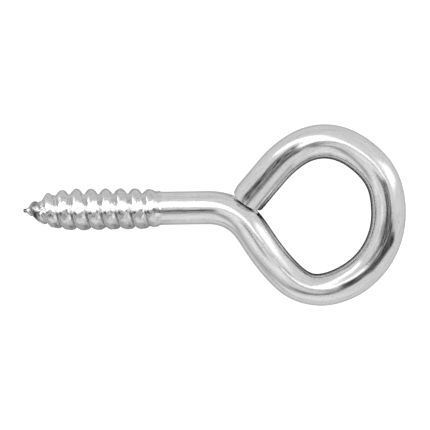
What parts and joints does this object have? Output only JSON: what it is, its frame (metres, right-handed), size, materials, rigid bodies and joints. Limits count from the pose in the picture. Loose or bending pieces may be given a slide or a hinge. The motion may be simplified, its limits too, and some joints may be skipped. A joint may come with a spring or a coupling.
{
  "type": "screw eye",
  "caption": "Screw eye bent from one steel wire: gimlet point, right-hand wood thread, plain shank, and a round eye closed by a sheared wire end.",
  "frame": {"origin": "middle of the eye's opening, half-way through the wire", "axes": "+X from the screw point towards the eye, parallel to the shank; +Y towards the side of the closing leg; +Z square to the plane of the eye"},
  "size_m": [0.0599, 0.0286, 0.0064],
  "materials": {
    "zinc_plated_wire": "bright zinc plate on drawn and bent steel wire, with fine drawing lines and small pits",
    "zinc_plated_thread": "bright zinc plate on a rolled thread, a little rougher on the flanks"
  },
  "bodies": {
    "root": {"gimlet_point": "zinc_plated_thread", "wood_thread": "zinc_plated_thread", "plain_shank": "zinc_plated_wire", "neck_bend": "zinc_plated_wire", "lower_leg": "zinc_plated_wire", "lower_bow": "zinc_plated_wire", "crown": "zinc_plated_wire", "upper_bow": "zinc_plated_wire", "closing_leg": "zinc_plated_wire"}
  },
  "joints": []
}
